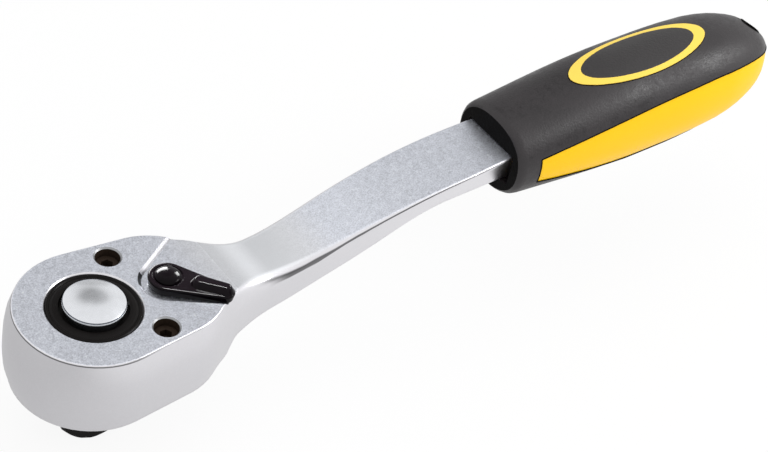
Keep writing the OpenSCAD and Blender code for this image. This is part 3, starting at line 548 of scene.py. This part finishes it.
stageSet = {"floorPlace": (0.1, 0, -0.0168), "floorSize": 6, "floorTone": 0.86, "floorRoughness": 0.8,
            "shadowShare": 0.10, "fallOff": (-0.08, 0.18), "fallOffWay": (1, -0.6, 0), "dimmest": 0.60}
deselectAll()
bpy.ops.mesh.primitive_plane_add(size=stageSet["floorSize"], location=stageSet["floorPlace"])
floor = bpy.context.object
floor.name = "studioFloor"
floorMaterial = bpy.data.materials.new("paleFloor")
floorMaterial.use_nodes = True
floorTree = floorMaterial.node_tree
matte = floorTree.nodes["Principled BSDF"]
matte.inputs["Base Color"].default_value = (stageSet["floorTone"],) * 3 + (1,)
matte.inputs["Roughness"].default_value = stageSet["floorRoughness"]
glow = addNode(floorTree, "ShaderNodeEmission")
mix = addNode(floorTree, "ShaderNodeMixShader")
fromCamera, mirroring = rayKinds(floorTree)
glowing = addMath(floorTree, "MAXIMUM", fromCamera, mirroring)
floorTree.links.new(addMath(floorTree, "MULTIPLY", glowing, 1 - stageSet["shadowShare"]), mix.inputs["Fac"])
floorTree.links.new(matte.outputs["BSDF"], mix.inputs[1])
floorTree.links.new(glow.outputs["Emission"], mix.inputs[2])
floorTree.links.new(mix.outputs["Shader"], floorTree.nodes["Material Output"].inputs["Surface"])

# the metal mirrors a floor that falls off to one side
spot = addNode(floorTree, "ShaderNodeNewGeometry")
onWay = addNode(floorTree, "ShaderNodeVectorMath", operation="DOT_PRODUCT")
floorTree.links.new(spot.outputs["Position"], onWay.inputs[0])
onWay.inputs[1].default_value = stageSet["fallOffWay"]
lit = addRamp(floorTree, onWay.outputs["Value"], *stageSet["fallOff"])
dim = addMath(floorTree, "MULTIPLY", addMath(floorTree, "SUBTRACT", 1, lit), 1 - stageSet["dimmest"])
strength = addMath(floorTree, "SUBTRACT", 1, addMath(floorTree, "MULTIPLY", dim, mirroring))
floorTree.links.new(strength, glow.inputs["Strength"])
floor.data.materials.append(floorMaterial)

# the surround is white, with softly greyer zones that shape the metal's reflections
surround = {
    "plainLevel": 0.80,
    "darkest": 0.1,
    "zones": {
        "farSky": {"way": (0.36, 0.62, 0.69), "inner": 9, "outer": 24, "depth": 0.62},
        "farMid": {"way": (0.37, 0.85, 0.37), "inner": 5, "outer": 18, "depth": 0.15},
        "farLow": {"way": (0.52, 0.85, 0.05), "inner": 5, "outer": 15, "depth": 0.45},
        "frontRight": {"way": (0.48, -0.84, 0.22), "inner": 8, "outer": 19, "depth": 0.85},
    },
}
world = bpy.data.worlds.new("studioSurround")
bpy.context.scene.world = world
world.use_nodes = True
worldTree = world.node_tree
worldTree.nodes.clear()
where = addNode(worldTree, "ShaderNodeTexCoord")
level = 1
for name, zone in surround["zones"].items():
    dot = addNode(worldTree, "ShaderNodeVectorMath", operation="DOT_PRODUCT", label=name)
    worldTree.links.new(where.outputs["Generated"], dot.inputs[0])
    dot.inputs[1].default_value = Vector(zone["way"]).normalized()
    outer, inner = (math.cos(math.radians(zone[key])) for key in ("outer", "inner"))
    weight = addRamp(worldTree, dot.outputs["Value"], outer, inner)
    level = addMath(worldTree, "MULTIPLY_ADD", weight, -zone["depth"], level)
plain = addNode(worldTree, "ShaderNodeBackground")
plain.inputs["Strength"].default_value = surround["plainLevel"]
mirrored = addNode(worldTree, "ShaderNodeBackground")
worldTree.links.new(addMath(worldTree, "MAXIMUM", level, surround["darkest"]), mirrored.inputs["Color"])
seen = addNode(worldTree, "ShaderNodeBackground")
for background in (plain, seen):
    background.inputs["Color"].default_value = (1, 1, 1, 1)
fromCamera, mirroring = rayKinds(worldTree)
shown = plain
for share, background in ((mirroring, mirrored), (fromCamera, seen)):
    choice = addNode(worldTree, "ShaderNodeMixShader")
    worldTree.links.new(share, choice.inputs["Fac"])
    worldTree.links.new(shown.outputs[0], choice.inputs[1])
    worldTree.links.new(background.outputs["Background"], choice.inputs[2])
    shown = choice
out = addNode(worldTree, "ShaderNodeOutputWorld")
worldTree.links.new(shown.outputs["Shader"], out.inputs["Surface"])

# the last three only put glints on the gloss black lever
lamps = {
    "overhead": {"place": (0.0, 0.15, 0.85), "aim": (0.08, 0, 0.02), "size": (0.9, 0.9),
                 "power": 1.9, "mirrored": False, "only": None},
    "rightFront": {"place": (0.72, -0.38, 0.50), "aim": (0.12, 0, 0.03), "size": (0.30, 0.30),
                   "power": 2.9, "mirrored": True, "only": None},
    "leftGlint": {"place": (0.2075, 0.630, 0.2685), "aim": (0.022, 0, 0.027), "size": (0.40, 0.26),
                  "power": 18, "mirrored": True, "only": (lever, pivot)},
    "rightGlint": {"place": (0.582, 0.241, 0.368), "aim": (0.022, 0, 0.027), "size": (0.22, 0.22),
                   "power": 8, "mirrored": True, "only": (lever, pivot)},
    "topGlint": {"place": (0.09, 0.10, 0.62), "aim": (0.03, -0.008, 0.027), "size": (0.11, 0.11),
                 "power": 8, "mirrored": True, "only": (lever,)},
}
for name, lamp in lamps.items():
    data = bpy.data.lights.new(name, "AREA")
    data.shape = "RECTANGLE"
    data.size, data.size_y = lamp["size"]
    data.energy = lamp["power"]
    obj = bpy.data.objects.new(name, data)
    bpy.context.scene.collection.objects.link(obj)
    obj.location = lamp["place"]
    obj.visible_glossy = lamp["mirrored"]
    if lamp["only"]:
        receivers = bpy.data.collections.new(name + "On")
        for piece in lamp["only"]:
            receivers.objects.link(piece)
        obj.light_linking.receiver_collection = receivers
    way = Vector(lamp["aim"]) - Vector(lamp["place"])
    obj.rotation_euler = way.to_track_quat("-Z", "Y").to_euler()

# camera at the photograph's angle, slightly rolled
shot = {"azimuth": -43.10, "elevation": 41.21, "roll": 11.12, "target": (0.0842, -0.0084, 0.0245),
        "distance": 0.65, "lens": 114.6, "sensor": 36, "clipStart": 0.01}
azimuth, elevation, roll = (math.radians(shot[key]) for key in ("azimuth", "elevation", "roll"))
reach = math.cos(elevation)
back = Vector((math.sin(azimuth) * reach, -math.cos(azimuth) * reach, math.sin(elevation)))
across = Vector((math.cos(azimuth), math.sin(azimuth), 0))
rise = back.cross(across)
sideways = math.cos(roll) * across + math.sin(roll) * rise
upward = math.cos(roll) * rise - math.sin(roll) * across
cameraData = bpy.data.cameras.new("photoCamera")
cameraData.sensor_width = shot["sensor"]
cameraData.lens = shot["lens"]
cameraData.clip_start = shot["clipStart"]
camera = bpy.data.objects.new("photoCamera", cameraData)
bpy.context.scene.collection.objects.link(camera)
turn = Matrix((sideways, upward, back)).transposed()
camera.matrix_world = Matrix.Translation(Vector(shot["target"]) + back * shot["distance"]) @ turn.to_4x4()
bpy.context.scene.camera = camera
bpy.context.scene.view_settings.view_transform = "Standard"
print("stage set")
